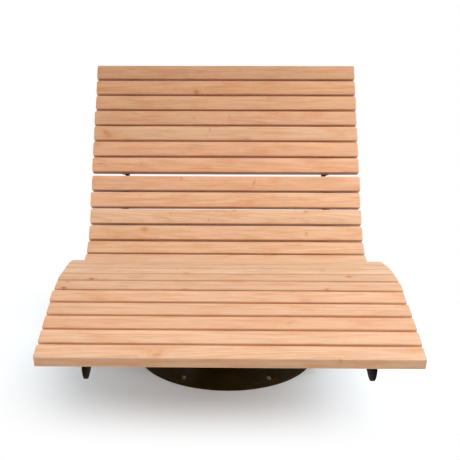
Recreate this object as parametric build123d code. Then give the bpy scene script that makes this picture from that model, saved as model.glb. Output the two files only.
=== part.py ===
from build123d import *
import math
import os

os.makedirs("parts", exist_ok=True)

# Swivelling double sun lounger. Millimetres, X across, -Y towards the feet, Z up.
# The origin is where the swivel axis meets the ground.

# Slats
slat_length = 1200.0
slat_width = 68.0
slat_thickness = 36.0
slat_edge_radius = 4.0
slat_gap = 9.5
lumbar_gap = 19.0
upper_back_slat_count = 7

# The wave in runs, from the top of the back to the foot: how many slat steps each run
# spans, and its slope at its end. Slopes are in degrees below level, walking to the feet.
run_slat_count = (2.5, 3.5, 2.5, 1.5, 2.0, 2.0, 1.0, 2.0, 3.0, 2.0, 4.0)
run_end_slope = (54.0, 57.5, 58.5, 48.0, 11.0, -28.0, -25.0, -10.0, -1.5, 12.0, 13.5)
back_top_slope = 58.5

# Places along the wave, as shares of the way from the top slat to the foot slat
axis_share = 0.574
tie_shares = (0.1154, 0.8846)
side_plate_rear_share = 0.4615
side_plate_front_share = 0.6615
frame_bolt_shares = (0.4808, 0.5308, 0.5808, 0.6308)

# Ribs, and the tabs that the slats are screwed to
rib_spacing = 896.0
rib_thickness = 10.0
rib_depth = 86.0
rib_nose_radius = 80.0
rib_corner_radius = 8.0
rib_end_setback = 3.0
tab_thickness = 5.0
tab_root_length = 72.0
tab_end_length = 52.0
tab_tip_length = 50.0
tab_clearance = 4.0
tab_inner_reach = 20.0
tab_outer_reach = 38.0

# Wood screws, from below
screw_radius = 2.5
screw_length = 30.0
screw_head_radius = 5.0
screw_head_height = 3.0
screw_head_rounding = 1.2
screw_stagger = 12.0
pilot_clearance = 0.1
pilot_spare_depth = 1.0
tab_hole_clearance = 0.25

# Cross ties
tie_tube_radius = 17.0
tie_tube_wall = 2.6
tie_plug_length = 30.0
tie_plug_clearance = 0.1

# Beams and side plates
beam_width = 60.0
beam_height = 50.0
beam_wall = 4.0
beam_corner_radius = 6.0
beam_spread = 300.0
rib_over_beam = 7.5
side_plate_thickness = 10.0
side_plate_foot = 370.0
side_plate_inset = 25.0
side_plate_corner_radius = 10.0

# Turntable plate
turntable_width = 400.0
turntable_reach = 380.0
turntable_thickness = 10.0
turntable_corner_radius = 20.0

# Slewing ring
race_radius = 120.0
race_gap = 2.0
outer_ring_width = 29.0
inner_ring_width = 24.0
ring_height = 26.0
ring_lift = 3.0
ring_edge_radius = 1.5
ball_radius = 7.0
ball_clearance = 0.1
ball_count = 48
lower_bolt_offset = 18.0
upper_bolt_offset = 14.0
ring_bolt_count = 8

# Base
base_radius = 356.0
base_thickness = 8.0
base_edge_radius = 1.5
pedestal_inset = 10.0
pedestal_wall = 6.0
pedestal_height = 80.0
flange_thickness = 10.0
flange_lip = 10.0
gusset_count = 4
gusset_reach = 70.0
gusset_height = 70.0
gusset_thickness = 8.0
gusset_toe = 10.0
anchor_margin = 143.0
anchor_hole_radius = 7.0
anchor_count = 4
levelling_margin = 35.0
levelling_count = 6
levelling_first_angle = 30.0
levelling_tip_lift = 0.5

# Metric bolts, by shank radius: across flats, head height, nut height, washer radius and thickness
levelling_bolt_radius = 4.0
levelling_bolt_flats = 13.0
levelling_bolt_head = 5.3
levelling_nut_height = 6.5
ring_bolt_radius = 5.0
ring_bolt_flats = 17.0
ring_bolt_head = 6.4
ring_nut_height = 8.4
ring_bolt_depth = 20.0
socket_head_radius = 8.0
socket_head_height = 10.0
socket_key_radius = 4.0
socket_key_depth = 5.0
socket_recess_clearance = 0.75
frame_bolt_radius = 6.0
frame_bolt_flats = 19.0
frame_bolt_head = 7.5
frame_nut_height = 10.0
frame_washer_radius = 12.0
frame_washer_thickness = 2.5
tie_bolt_length = 34.0
bolt_hole_clearance = 0.5
thread_clearance = 0.05
thread_stub = 2.0
blind_spare_depth = 2.0

# One overrun serves every cut
cut_overrun = 2.0

# Heights that follow from the stack of the base
pedestal_top = base_thickness + pedestal_height
flange_top = pedestal_top + flange_thickness
outer_ring_top = flange_top + ring_height
inner_ring_bottom = flange_top + ring_lift
turntable_bottom = inner_ring_bottom + ring_height
turntable_top = turntable_bottom + turntable_thickness
beam_top = turntable_top + beam_height
race_height = (inner_ring_bottom + outer_ring_top) / 2
wave_low = beam_top + rib_over_beam + rib_depth + tab_thickness

# Circles round the swivel axis that follow from the ball race
ring_outer_radius = race_radius + race_gap / 2 + outer_ring_width
ring_inner_radius = race_radius - race_gap / 2 - inner_ring_width
lower_bolt_circle_radius = race_radius + lower_bolt_offset
upper_bolt_circle_radius = race_radius - upper_bolt_offset
pedestal_radius = race_radius - pedestal_inset

# Places across the lounger
rib_inner_face = (rib_spacing - rib_thickness) / 2
rib_outer_face = rib_inner_face + rib_thickness
side_plate_inner_face = rib_inner_face - side_plate_thickness

# Places along the wave and below it
slat_step = slat_width + slat_gap
last_step = round(sum(run_slat_count))
lumbar_step = upper_back_slat_count - 0.5
rib_mid_depth = tab_thickness + rib_depth / 2
rib_end_reach = slat_width / 2 - rib_end_setback

# Holes
bore_radius = ring_bolt_radius + bolt_hole_clearance
frame_hole_radius = frame_bolt_radius + bolt_hole_clearance


class Wave:
    """The line of the slats' undersides: a chain of straight runs and tangent arcs.

    A step counts slats from 0 at the top of the back, and a part step lies between two slats.
    A place is a distance along the line, from the top slat's middle.
    """

    def __init__(self):
        self.runs = []
        self.build_runs()
        self.settle()

    def build_runs(self):
        """Works out each run's length and bend, so that the gaps are even between the slats' tops."""
        first_step = 0.0
        start = 0.0
        slope = math.radians(back_top_slope)
        for steps, end_slope_degrees in zip(run_slat_count, run_end_slope):
            end_slope = math.radians(end_slope_degrees)
            length = steps * slat_step + slat_thickness * (slope - end_slope)
            widening = 0.0
            if first_step < lumbar_step < first_step + steps:
                widening = lumbar_gap - slat_gap
            bend = (end_slope - slope) / (length + widening)
            self.runs.append({"start": start, "length": length + widening, "even_length": length,
                              "widening": widening, "slope": slope, "bend": bend,
                              "first_step": first_step, "steps": steps})
            start += length + widening
            first_step += steps
            slope = end_slope
        self.length = start

    def place_of(self, step):
        """Distance along the wave at a step."""
        for run in self.runs:
            if step <= run["first_step"] + run["steps"]:
                break
        place = run["start"] + run["even_length"] * (step - run["first_step"]) / run["steps"]
        if step > lumbar_step:
            place += run["widening"]
        return place

    def settle(self):
        """Moves the wave so that its bowl has its height and its axis share is over the swivel axis."""
        self.shift = (0.0, 0.0)
        origin = (0.0, 0.0)
        for run in self.runs:
            run["origin"] = origin
            origin = self.travel(run, run["length"])
        samples = last_step * len(self.runs)
        lowest = min(self.point(self.length * index / samples, 0)[1] for index in range(samples))
        axis_y, axis_z = self.point(self.place_of(axis_share * last_step), 0)
        self.shift = (-axis_y, wave_low - lowest)

    def travel(self, run, along):
        """The point reached after a distance along one run."""
        y, z = run["origin"]
        if run["bend"] == 0:
            return (y - along * math.cos(run["slope"]), z - along * math.sin(run["slope"]))
        slope = run["slope"] + run["bend"] * along
        return (y - (math.sin(slope) - math.sin(run["slope"])) / run["bend"],
                z + (math.cos(slope) - math.cos(run["slope"])) / run["bend"])

    def run_at(self, place):
        """The run that holds a place; past the foot, the last one."""
        for run in self.runs:
            if place <= run["start"] + run["length"]:
                return run
        return self.runs[-1]

    def slope(self, place):
        """Slope below level, in radians; past an end it stays as it is there."""
        run = self.run_at(place)
        inside = min(max(place - run["start"], 0.0), run["length"])
        return run["slope"] + run["bend"] * inside

    def point(self, place, depth):
        """Y and Z at a place and at a depth below the line; past an end the line goes straight on."""
        run = self.run_at(place)
        inside = min(max(place - run["start"], 0.0), run["length"])
        y, z = self.travel(run, inside)
        slope = self.slope(place)
        past = place - run["start"] - inside
        y += self.shift[0] - past * math.cos(slope) + depth * math.sin(slope)
        z += self.shift[1] - past * math.sin(slope) - depth * math.cos(slope)
        return (y, z)

    def edges(self, first, last, depth):
        """Lines and arcs that follow the wave at a depth, from one place to a later one."""
        stations = [first]
        stations += [run["start"] for run in self.runs if first < run["start"] < last]
        if first < self.length < last:
            stations.append(self.length)
        stations.append(last)
        pieces = []
        for here, there in zip(stations, stations[1:]):
            middle = (here + there) / 2
            ends = (self.point(here, depth), self.point(there, depth))
            if self.run_at(middle)["bend"] == 0 or not 0 < middle < self.length:
                pieces.append(Line(*ends))
            else:
                pieces.append(ThreePointArc(ends[0], self.point(middle, depth), ends[1]))
        return pieces

    def seat(self, step):
        """The location of a slat's underside middle, with its local Y up the slope."""
        place = self.place_of(step)
        y, z = self.point(place, 0)
        return Location((0, y, z), (math.degrees(self.slope(place)), 0, 0))


wave = Wave()


def save(shape, node):
    export_step(shape, f"parts/{node}.step")


def group(solids):
    return Compound(children=list(solids))


def ring(outer, inner, height):
    """A flat ring standing on its local XY plane."""
    profile = Circle(outer) - Circle(inner)
    return extrude(profile, amount=height)


def rod(radius, height):
    """A round bar standing on its local XY plane."""
    return extrude(Circle(radius), amount=height)


def hexagon(flats, height):
    """A hexagonal bar standing on its local XY plane."""
    return extrude(RegularPolygon(radius=flats / 2, side_count=6, major_radius=False), amount=height)


def circle_places(radius, count, first_angle):
    """Locations round the swivel axis, the first one at an angle from -Y."""
    step = math.tau / count
    places = []
    for index in range(count):
        angle = math.radians(first_angle) + step * index
        places.append((radius * math.sin(angle), -radius * math.cos(angle), math.degrees(angle)))
    return places


def upright_plate(outline, low_x, thickness):
    """A plate in a YZ plane from an outline of edges, from low_x towards +X."""
    face = make_face(outline)
    return extrude(Plane.YZ.offset(low_x) * face, amount=thickness)


def along_x(shape, x, y, z):
    """Lays a shape that stands on its local XY plane so that it points towards +X."""
    return Location((x, y, z), (0, 90, 0)) * shape


def cross_drill(plate, low_x, thickness, radius, points):
    """An upright plate less a round hole at each point."""
    for y, z in points:
        plate -= along_x(rod(radius, thickness + 2 * cut_overrun), low_x - cut_overrun, y, z)
    return plate


def round_corner(plate, point, radius):
    """An upright plate with the corner at a point rounded."""
    y, z = point
    corner = [edge for edge in plate.edges().filter_by(Axis.X)
              if math.hypot(edge.center().Y - y, edge.center().Z - z) < thread_clearance]
    return fillet(corner, radius)


def on_side(shape, side):
    """A right-hand shape as it is, or mirrored for the left-hand side."""
    return shape if side > 0 else mirror(shape, about=Plane.YZ)


def slat_steps():
    """The steps of all slats, from the top of the back to the foot."""
    return range(last_step + 1)


def screw_places():
    """Screws of one slat on the right-hand side: X, and the offset up the slope."""
    inner = rib_inner_face - tab_inner_reach / 2
    outer = rib_outer_face + tab_outer_reach / 2
    return ((inner, -screw_stagger), (outer, screw_stagger))


def make_slat():
    """One slat with rounded edges and four blind pilot holes in its underside."""
    body = Box(slat_length, slat_width, slat_thickness, align=(Align.CENTER, Align.CENTER, Align.MIN))
    body = fillet(body.edges(), slat_edge_radius)
    hole_depth = screw_length - tab_thickness + pilot_spare_depth
    for x, offset in screw_places():
        for side in (-1, 1):
            hole = rod(screw_radius + pilot_clearance, hole_depth + cut_overrun)
            body -= Pos(side * x, offset, -cut_overrun) * hole
    return body


def tab_length(step):
    """Length of a slat's tab where it meets the rib: an end slat's is short, the others clear each other."""
    if step in (0, last_step):
        return tab_end_length
    place = wave.place_of(step)
    room = min(place - wave.place_of(step - 1), wave.place_of(step + 1) - place)
    return min(tab_root_length, room - tab_clearance)


def make_tab(side, root_length):
    """One slat tab, widest at the rib and tapered outwards, with two screw holes."""
    inner_tip = rib_inner_face - tab_inner_reach
    outer_tip = rib_outer_face + tab_outer_reach
    root = root_length / 2
    tip = tab_tip_length / 2
    outline = Polyline(
        (inner_tip, -tip), (rib_inner_face, -root), (rib_outer_face, -root), (outer_tip, -tip),
        (outer_tip, tip), (rib_outer_face, root), (rib_inner_face, root), (inner_tip, tip), close=True,
    )
    tab = extrude(make_face(outline), amount=-tab_thickness)
    for x, offset in screw_places():
        hole = rod(screw_radius + tab_hole_clearance, tab_thickness + 2 * cut_overrun)
        tab -= Pos(x, offset, -tab_thickness - cut_overrun) * hole
    return on_side(tab, side)


def make_wood_screw():
    """A pan-head screw, pointing up, whose head bears on the underside of a tab."""
    head = rod(screw_head_radius, screw_head_height)
    head = fillet(head.edges().group_by(Axis.Z)[0], screw_head_rounding)
    shank = Pos(0, 0, screw_head_height) * rod(screw_radius, screw_length)
    return Pos(0, 0, -tab_thickness - screw_head_height) * (head + shank)


def rib_top_corners():
    """Corners of the facets that carry the tabs, from the foot to the top of the back."""
    corners = []
    for step in reversed(slat_steps()):
        half = tab_length(step) / 2
        place = wave.place_of(step)
        slope = wave.slope(place)
        y, z = wave.point(place, tab_thickness)
        for along in (half, -half):
            corners.append((y - along * math.cos(slope), z - along * math.sin(slope)))
    foot = wave.point(wave.place_of(last_step) + rib_end_reach, tab_thickness)
    top = wave.point(wave.place_of(0) - rib_end_reach, tab_thickness)
    return [foot] + corners[1:-1] + [top]


def make_rib(side):
    """A wave-cut plate with a flat facet under each tab and a rounded nose at both ends."""
    first = wave.place_of(0) - rib_end_reach
    last = wave.place_of(last_step) + rib_end_reach
    low = tab_thickness + rib_depth
    corners = rib_top_corners()
    outline = [Line(here, there) for here, there in zip(corners, corners[1:])]
    outline.append(Line(corners[-1], wave.point(first, low)))
    outline += wave.edges(first, last, low)
    outline.append(Line(wave.point(last, low), corners[0]))
    rib = upright_plate(outline, rib_inner_face, rib_thickness)
    for point in (wave.point(last, low), wave.point(first, low)):
        rib = round_corner(rib, point, rib_nose_radius)
    for point in (corners[0], corners[-1]):
        rib = round_corner(rib, point, rib_corner_radius)
    rib = cross_drill(rib, rib_inner_face, rib_thickness, frame_hole_radius, frame_bolt_points())
    rib = cross_drill(rib, rib_inner_face, rib_thickness, bore_radius, tie_points())
    return on_side(rib, side)


def frame_bolt_points():
    """Y and Z of the bolts between a rib and its side plate."""
    return [wave.point(wave.place_of(share * last_step), rib_mid_depth) for share in frame_bolt_shares]


def tie_points():
    """Y and Z of the ties between the ribs: the back's, then the foot's."""
    return [wave.point(wave.place_of(share * last_step), rib_mid_depth) for share in tie_shares]


def make_side_plate(side):
    """The plate that stands on the beam ends and is bolted to a rib's inner face."""
    rear = wave.place_of(side_plate_rear_share * last_step)
    front = wave.place_of(side_plate_front_share * last_step)
    upper_corners = (wave.point(rear, side_plate_inset), wave.point(front, side_plate_inset))
    rear_foot = (side_plate_foot / 2, turntable_top)
    front_foot = (-side_plate_foot / 2, turntable_top)
    outline = [Line(rear_foot, upper_corners[0])]
    outline += wave.edges(rear, front, side_plate_inset)
    outline += [Line(upper_corners[1], front_foot), Line(front_foot, rear_foot)]
    plate = upright_plate(outline, side_plate_inner_face, side_plate_thickness)
    for point in upper_corners:
        plate = round_corner(plate, point, side_plate_corner_radius)
    plate = cross_drill(plate, side_plate_inner_face, side_plate_thickness, frame_hole_radius,
                        frame_bolt_points())
    return on_side(plate, side)


def make_frame_bolts(side):
    """Bolt, two washers and nut at each place where a rib is bolted to its side plate."""
    head_face = rib_outer_face + frame_washer_thickness
    nut_face = side_plate_inner_face - frame_washer_thickness
    tip = nut_face - frame_nut_height - thread_stub
    washer = ring(frame_washer_radius, frame_hole_radius, frame_washer_thickness)
    nut = hexagon(frame_bolt_flats, frame_nut_height)
    nut -= rod(frame_bolt_radius + thread_clearance, frame_nut_height)
    solids = []
    for y, z in frame_bolt_points():
        bolt = along_x(rod(frame_bolt_radius, head_face - tip), tip, y, z)
        bolt += along_x(hexagon(frame_bolt_flats, frame_bolt_head), head_face, y, z)
        solids += [bolt, along_x(washer, rib_outer_face, y, z), along_x(washer, nut_face, y, z),
                   along_x(nut, nut_face - frame_nut_height, y, z)]
    return group(on_side(solid, side) for solid in solids)


def make_tie_tube(point):
    """A round tube between the two ribs' inner faces."""
    y, z = point
    tube = ring(tie_tube_radius, tie_tube_radius - tie_tube_wall, 2 * rib_inner_face)
    return along_x(tube, -rib_inner_face, y, z)


def make_tie_plugs():
    """Tapped plugs in the ends of the tie tubes."""
    solids = []
    for y, z in tie_points():
        plug = ring(tie_tube_radius - tie_tube_wall - tie_plug_clearance,
                    ring_bolt_radius + thread_clearance, tie_plug_length)
        plug = along_x(plug, rib_inner_face - tie_plug_length, y, z)
        solids += [plug, on_side(plug, -1)]
    return group(solids)


def make_tie_bolts():
    """Bolts and washers that hold the ribs to the tie plugs."""
    head_face = rib_outer_face + frame_washer_thickness
    washer = ring(frame_washer_radius, bore_radius, frame_washer_thickness)
    solids = []
    for y, z in tie_points():
        bolt = along_x(rod(ring_bolt_radius, tie_bolt_length), head_face - tie_bolt_length, y, z)
        bolt += along_x(hexagon(ring_bolt_flats, ring_bolt_head), head_face, y, z)
        for solid in (bolt, along_x(washer, rib_outer_face, y, z)):
            solids += [solid, on_side(solid, -1)]
    return group(solids)


def make_cross_beam(y):
    """A rectangular tube across the turntable plate, between the side plates."""
    outside = RectangleRounded(beam_height, beam_width, beam_corner_radius)
    inside = RectangleRounded(beam_height - 2 * beam_wall, beam_width - 2 * beam_wall,
                              beam_corner_radius - beam_wall)
    tube = extrude(outside - inside, amount=2 * side_plate_inner_face)
    return along_x(tube, -side_plate_inner_face, y, turntable_top + beam_height / 2)


def make_turntable_plate():
    """The plate between the beams and the turning ring, with its bolt holes."""
    profile = RectangleRounded(turntable_width, turntable_reach, turntable_corner_radius)
    plate = Pos(0, 0, turntable_bottom) * extrude(profile, amount=turntable_thickness)
    for x, y, angle in upper_bolt_places():
        hole = rod(bore_radius, turntable_thickness + 2 * cut_overrun)
        plate -= Pos(x, y, turntable_bottom - cut_overrun) * hole
    return plate


def upper_bolt_places():
    """Bolts of the turning ring, half a step off the middle line."""
    return circle_places(upper_bolt_circle_radius, ring_bolt_count, 180.0 / ring_bolt_count)


def lower_bolt_places():
    """Bolts of the fixed ring, half a step off the middle line."""
    return circle_places(lower_bolt_circle_radius, ring_bolt_count, 180.0 / ring_bolt_count)


def make_raceway():
    """The ring-shaped groove that the balls run in."""
    return Pos(0, 0, race_height) * Torus(race_radius, ball_radius + ball_clearance)


def make_inner_ring():
    """The turning ring, with tapped holes from above."""
    body = ring(race_radius - race_gap / 2, ring_inner_radius, ring_height)
    body = chamfer(body.edges().filter_by(GeomType.CIRCLE), ring_edge_radius)
    body = Pos(0, 0, inner_ring_bottom) * body - make_raceway()
    depth = ring_bolt_depth + blind_spare_depth
    for x, y, angle in upper_bolt_places():
        hole = rod(ring_bolt_radius + thread_clearance, depth + cut_overrun)
        body -= Pos(x, y, turntable_bottom - depth) * hole
    return body


def make_outer_ring():
    """The fixed ring, with recessed holes for socket-head bolts."""
    body = ring(ring_outer_radius, race_radius + race_gap / 2, ring_height)
    body = chamfer(body.edges().filter_by(GeomType.CIRCLE), ring_edge_radius)
    body = Pos(0, 0, flange_top) * body - make_raceway()
    for x, y, angle in lower_bolt_places():
        hole = rod(bore_radius, ring_height + 2 * cut_overrun)
        recess = rod(socket_head_radius + socket_recess_clearance, socket_head_height + cut_overrun)
        body -= Pos(x, y, flange_top - cut_overrun) * hole
        body -= Pos(x, y, outer_ring_top - socket_head_height) * recess
    return body


def make_balls():
    """The full row of balls between the two rings."""
    ball = Sphere(ball_radius)
    return group(Pos(x, y, race_height) * ball
                 for x, y, angle in circle_places(race_radius, ball_count, 0.0))


def make_upper_bolts():
    """Hexagon bolts through the turntable plate into the turning ring."""
    length = turntable_thickness + ring_bolt_depth
    bolt = Pos(0, 0, -length) * rod(ring_bolt_radius, length) + hexagon(ring_bolt_flats, ring_bolt_head)
    return group(Location((x, y, turntable_top), (0, 0, angle)) * bolt
                 for x, y, angle in upper_bolt_places())


def make_lower_bolts():
    """Socket-head bolts through the fixed ring and the flange, with nuts below."""
    head_seat = outer_ring_top - socket_head_height
    nut_bottom = pedestal_top - ring_nut_height
    tip = nut_bottom - thread_stub
    key = hexagon(2 * socket_key_radius, socket_key_depth + cut_overrun)
    key = Pos(0, 0, socket_head_height - socket_key_depth) * key
    head = rod(socket_head_radius, socket_head_height) - key
    bolt = rod(ring_bolt_radius, head_seat - tip) + Pos(0, 0, head_seat - tip) * head
    nut = hexagon(ring_bolt_flats, ring_nut_height)
    nut -= rod(ring_bolt_radius + thread_clearance, ring_nut_height)
    solids = []
    for x, y, angle in lower_bolt_places():
        solids += [Pos(x, y, tip) * bolt, Location((x, y, nut_bottom), (0, 0, angle)) * nut]
    return group(solids)


def make_flange():
    """The ring flange on top of the pedestal."""
    body = ring(ring_outer_radius, pedestal_radius - flange_lip, flange_thickness)
    body = Pos(0, 0, pedestal_top) * body
    for x, y, angle in lower_bolt_places():
        hole = rod(bore_radius, flange_thickness + 2 * cut_overrun)
        body -= Pos(x, y, pedestal_top - cut_overrun) * hole
    return body


def make_gussets():
    """Triangular plates that brace the pedestal on the base plate."""
    outer = pedestal_radius + gusset_reach
    outline = Polyline(
        (pedestal_radius, 0), (outer, 0), (outer, gusset_toe),
        (pedestal_radius + gusset_toe, gusset_height), (pedestal_radius, gusset_height), close=True,
    )
    gusset = extrude(Plane.XZ * make_face(outline), amount=gusset_thickness / 2, both=True)
    places = circle_places(pedestal_radius, gusset_count, 0.0)
    return group(Location((0, 0, base_thickness), (0, 0, angle)) * gusset for x, y, angle in places)


def make_base_plate():
    """The round plate on the ground, with holes for ground anchors and levelling screws."""
    plate = rod(base_radius, base_thickness)
    plate = fillet(plate.edges().group_by(Axis.Z)[-1], base_edge_radius)
    for x, y, angle in circle_places(base_radius - anchor_margin, anchor_count, 180.0 / anchor_count):
        hole = rod(anchor_hole_radius, base_thickness + 2 * cut_overrun)
        plate -= Pos(x, y, -cut_overrun) * hole
    for x, y, angle in levelling_places():
        hole = rod(levelling_bolt_radius + thread_clearance, base_thickness + 2 * cut_overrun)
        plate -= Pos(x, y, -cut_overrun) * hole
    return plate


def levelling_places():
    """The levelling screws near the base plate's rim."""
    return circle_places(base_radius - levelling_margin, levelling_count, levelling_first_angle)


def make_levelling_screws():
    """Hexagon screws through the base plate with lock nuts, screwed back level with its underside."""
    head_seat = base_thickness + levelling_nut_height
    screw = Pos(0, 0, levelling_tip_lift) * rod(levelling_bolt_radius, head_seat - levelling_tip_lift)
    screw += Pos(0, 0, head_seat) * hexagon(levelling_bolt_flats, levelling_bolt_head)
    nut = hexagon(levelling_bolt_flats, levelling_nut_height)
    nut -= rod(levelling_bolt_radius + thread_clearance, levelling_nut_height)
    solids = []
    for x, y, angle in levelling_places():
        solids += [Pos(x, y, 0) * screw, Pos(x, y, base_thickness) * nut]
    return group(solids)


def make_slat_screws(side):
    """The screws of one side, two to each slat."""
    screw = make_wood_screw()
    return group(wave.seat(step) * Pos(side * x, offset, 0) * screw
                 for step in slat_steps() for x, offset in screw_places())


def make_slat_tabs(side):
    """The tabs of one side, one under each slat."""
    return group(wave.seat(step) * make_tab(side, tab_length(step)) for step in slat_steps())


def make_pedestal_tube():
    """The round tube between the base plate and the flange."""
    tube = ring(pedestal_radius, pedestal_radius - pedestal_wall, pedestal_height)
    return Pos(0, 0, base_thickness) * tube


save(make_base_plate(), "base_plate")
save(make_levelling_screws(), "levelling_screws")
save(make_pedestal_tube(), "pedestal_tube")
save(make_gussets(), "pedestal_gussets")
save(make_flange(), "bearing_flange")
save(make_outer_ring(), "bearing_outer_ring")
save(make_balls(), "bearing_balls")
save(make_lower_bolts(), "bearing_lower_bolts")
save(make_inner_ring(), "bearing_inner_ring")
save(make_upper_bolts(), "bearing_upper_bolts")
save(make_turntable_plate(), "turntable_plate")
save(make_cross_beam(-beam_spread / 2), "front_cross_beam")
save(make_cross_beam(beam_spread / 2), "rear_cross_beam")
for side_name, side_sign in (("left", -1), ("right", 1)):
    save(make_side_plate(side_sign), f"{side_name}_side_plate")
    save(make_rib(side_sign), f"{side_name}_rib")
    save(make_frame_bolts(side_sign), f"{side_name}_frame_bolts")
    save(make_slat_tabs(side_sign), f"{side_name}_slat_tabs")
    save(make_slat_screws(side_sign), f"{side_name}_slat_screws")
back_tie, foot_tie = tie_points()
save(make_tie_tube(back_tie), "back_tie_tube")
save(make_tie_tube(foot_tie), "foot_tie_tube")
save(make_tie_plugs(), "tie_end_plugs")
save(make_tie_bolts(), "tie_bolts")
one_slat = make_slat()
for slat_step_number in slat_steps():
    save(wave.seat(slat_step_number) * one_slat, f"slat_{slat_step_number + 1:02d}")
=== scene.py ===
"""Looks of the double sun lounger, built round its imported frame.

Metres, X across, -Y towards the feet, Z up, as in the frame.
"""

from __future__ import annotations

import logging
import math
import random
from collections.abc import Iterable, Sequence
from dataclasses import dataclass, field
from enum import Enum

import bmesh
import bpy
from mathutils import Matrix, Vector

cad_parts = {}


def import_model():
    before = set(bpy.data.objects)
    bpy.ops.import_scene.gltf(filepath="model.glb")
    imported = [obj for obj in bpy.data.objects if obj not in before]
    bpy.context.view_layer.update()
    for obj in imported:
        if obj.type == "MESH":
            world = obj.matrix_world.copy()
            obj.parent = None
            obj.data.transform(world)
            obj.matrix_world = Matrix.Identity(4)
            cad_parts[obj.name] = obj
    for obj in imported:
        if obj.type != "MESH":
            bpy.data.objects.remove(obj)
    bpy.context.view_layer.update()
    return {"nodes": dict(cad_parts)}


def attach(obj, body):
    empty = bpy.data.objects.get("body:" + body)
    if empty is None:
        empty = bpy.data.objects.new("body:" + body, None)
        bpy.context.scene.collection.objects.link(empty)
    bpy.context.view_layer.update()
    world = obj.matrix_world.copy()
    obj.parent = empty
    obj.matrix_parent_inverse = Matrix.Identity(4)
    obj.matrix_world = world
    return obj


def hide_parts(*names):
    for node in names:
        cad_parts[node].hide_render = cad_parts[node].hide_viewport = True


log = logging.getLogger("lounger")

Colour = tuple[float, float, float]
Point = tuple[float, float, float]
Socket = bpy.types.NodeSocket
Feed = float | int | Sequence[float] | Socket
Span = tuple[Vector, Vector]

QUARTER_TURN = math.tau / 4
WELD_DISTANCE = 0.00002
FLAT_ANGLE = math.radians(0.6)
CREASE_ANGLE = math.radians(32)
NORMAL_DIGITS = 3
KNOT_SLOTS = 4
FAR_AWAY = 9.0
NOISE_MIDDLE = 0.5
WHITE: Colour = (1.0, 1.0, 1.0)
# Painted light and painted shade on the sides and rounded long edges of some boards, which show as the
# lines between the slats.
PAINTED_SIDE_LIGHT: Colour = (1.14, 1.15, 1.13)
DARK_PAINTED_SIDE_SHADE: Colour = (0.73, 0.68, 0.60)
DEEP_PAINTED_SIDE_SHADE: Colour = (0.60, 0.54, 0.46)
# Numbers of the Mix node's sockets for colours.
MIX_SHARE, MIX_FIRST, MIX_SECOND, MIX_OUTCOME = 0, 6, 7, 2


class Body(Enum):
    """The two bodies of the lounger."""

    BASE = "base"
    SEAT = "seat"


class Slot(Enum):
    """The material slots of the record."""

    WOOD = "slat_wood"
    RIB = "rib_coating"
    BASE = "base_coating"
    ZINC = "zinc_plating"
    BEARING = "bearing_steel"
    BALL = "ball_steel"


class Outlet(Enum):
    """Outlets of an Attribute node."""

    VECTOR = "Vector"
    FACTOR = "Fac"


class Ease(Enum):
    """How far the sharp edges of a steel part are eased, in metres."""

    NONE = 0.0
    BOLT = 0.0004
    SCREW = 0.0005
    PLATE = 0.0006
    HEAVY_PLATE = 0.0008


def colour4(colour: Colour) -> tuple[float, float, float, float]:
    """A colour with full alpha."""
    return (*colour, 1.0)


@dataclass(frozen=True)
class Noise:
    """Smooth noise: features in a unit of place, octaves, and how strong the finer octaves are."""

    scale: float = 1.0
    detail: float = 2.0
    rough: float = 0.5


@dataclass(frozen=True)
class Grain:
    """Noise drawn out along a board.

    Along and across are features in a metre. The shift is how far a board's seed moves the noise.
    """

    along: float
    across: float
    shift: float
    noise: Noise = Noise()


@dataclass(frozen=True)
class Step:
    """A smooth step: start below low, end above high."""

    low: float
    high: float
    start: float = 0.0
    end: float = 1.0


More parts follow.
